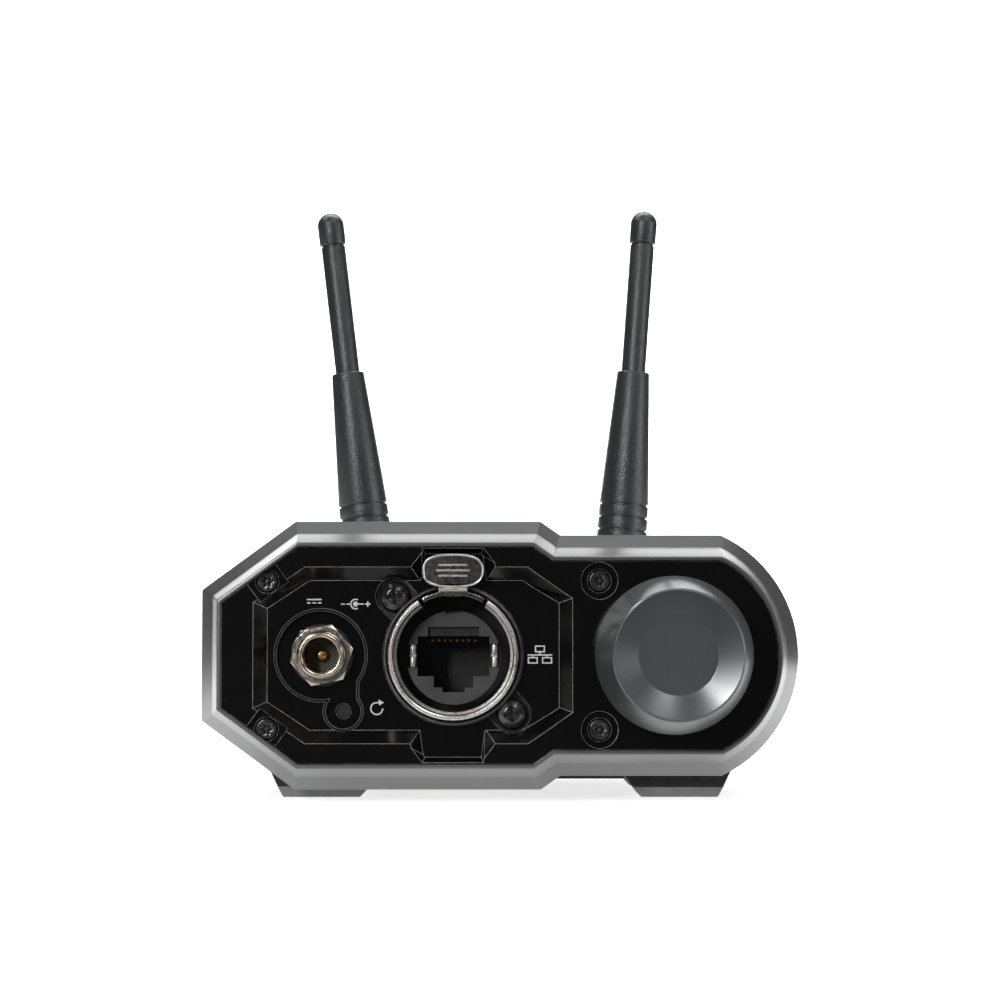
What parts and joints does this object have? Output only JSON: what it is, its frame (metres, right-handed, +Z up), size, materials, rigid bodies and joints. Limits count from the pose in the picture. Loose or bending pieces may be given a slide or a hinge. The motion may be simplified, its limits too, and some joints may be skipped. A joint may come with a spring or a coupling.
{
  "type": "wireless receiver unit",
  "caption": "Compact stand-mounted wireless audio receiver with a network and power connector panel, a stand socket under a screw cap, and folding whip antennas at the rear.",
  "frame": {"origin": "centre of the bounding box on the plane that the feet rest on", "axes": "-Y is the way the connector panel faces, +X is to its right as it is looked at, +Z is up"},
  "size_m": [0.1028, 0.145, 0.1192],
  "materials": {
    "body_paint": "satin",
    "panel_black": "gloss",
    "shell_black": "matte",
    "plain_metal": "satin",
    "cap_grey": "satin",
    "nickel": "satin",
    "bright_metal": "satin",
    "brass": "satin",
    "gold": "polished",
    "rubber": "matte",
    "black_plastic": "satin",
    "insert_plastic": "matte",
    "insulator": "matte",
    "black_screw": "satin",
    "antenna_black": "matte",
    "wire_red": "satin",
    "cable_black": "satin",
    "board_green": "satin",
    "chip_black": "matte",
    "capacitor": "satin",
    "lens": "gloss"
  },
  "bodies": {
    "housing": {"end_cap": "body_paint", "connector_panel": "panel_black", "upper_shell": "shell_black", "lower_shell": "shell_black", "antenna_end_cap": "body_paint", "antenna_panel": "panel_black", "stand_socket": "plain_metal", "network_shell": "nickel", "network_body": "black_plastic", "network_insert": "insert_plastic", "network_contacts": "gold", "network_shield_tabs": "bright_metal", "network_screws": "black_screw", "dc_jack_barrel": "nickel", "dc_jack_nut": "nickel", "dc_jack_washer": "nickel", "dc_jack_insulator": "insulator", "dc_centre_pin": "brass", "dc_jack_body": "black_plastic", "dc_leads": "wire_red", "reset_switch": "black_plastic", "case_screws": "black_screw", "rear_screws": "black_screw", "shell_screws": "black_screw", "main_board": "board_green", "board_chips": "chip_black", "rf_shield_can": "bright_metal", "network_transformer": "chip_black", "board_capacitors": "capacitor", "board_screws": "bright_metal", "left_coax": "cable_black", "right_coax": "cable_black", "status_lenses": "lens", "bracket_inserts": "brass", "left_jack": "brass", "right_jack": "brass", "jack_nuts": "bright_metal", "antenna_nuts": "bright_metal", "front_left_foot": "rubber", "front_right_foot": "rubber", "rear_left_foot": "rubber", "rear_right_foot": "rubber"},
    "cap_carrier": {"cap_washer": "rubber"},
    "cap": {"stand_cap": "cap_grey", "cap_plug": "brass"},
    "latch": {"network_latch": "nickel"},
    "reset": {"reset_button": "black_plastic"},
    "left_base": {"left_antenna_base": "antenna_black", "left_fold_pin": "bright_metal"},
    "left_antenna": {"left_sleeve": "antenna_black", "left_rod": "antenna_black", "left_tip": "antenna_black"},
    "right_base": {"right_antenna_base": "antenna_black", "right_fold_pin": "bright_metal"},
    "right_antenna": {"right_sleeve": "antenna_black", "right_rod": "antenna_black", "right_tip": "antenna_black"}
  },
  "joints": [
    {"name": "cap_travel", "type": "slide", "parent": "housing", "child": "cap_carrier", "axis": [0, -1, 0], "range_m": [0, 0.00657]},
    {"name": "cap_turn", "type": "hinge", "parent": "cap_carrier", "child": "cap", "pos_m": [0.02866, -0.05395, 0.0248], "axis": [0, -1, 0], "range_deg": [0, 2520]},
    {"name": "latch_press", "type": "hinge", "parent": "housing", "child": "latch", "pos_m": [-0.00783, -0.04565, 0.0362], "axis": [-1, 0, 0], "range_deg": [0, 4], "stiffness_Nm_per_rad": 0.1, "springref_deg": -2.86},
    {"name": "reset_press", "type": "slide", "parent": "housing", "child": "reset", "axis": [0, 1, 0], "range_m": [0, 0.0008], "stiffness_N_per_m": 1000, "springref_m": -0.0003},
    {"name": "left_swivel", "type": "hinge", "parent": "housing", "child": "left_base", "pos_m": [-0.02595, 0.06705, 0.0308], "axis": [0, -1, 0], "range_deg": [-14, 83]},
    {"name": "left_fold", "type": "hinge", "parent": "left_base", "child": "left_antenna", "pos_m": [-0.02595, 0.06705, 0.0308], "axis": [-0.9931, 0, -0.1175], "range_deg": [0, 90]},
    {"name": "right_swivel", "type": "hinge", "parent": "housing", "child": "right_base", "pos_m": [0.02433, 0.06705, 0.0308], "axis": [0, 1, 0], "range_deg": [-12, 85]},
    {"name": "right_fold", "type": "hinge", "parent": "right_base", "child": "right_antenna", "pos_m": [0.02433, 0.06705, 0.0308], "axis": [-0.9973, 0, 0.0732], "range_deg": [0, 90]}
  ],
  "couplings": [
    {"joint": "cap_turn", "follows": "cap_travel", "rad_per_m": 6684.2}
  ]
}
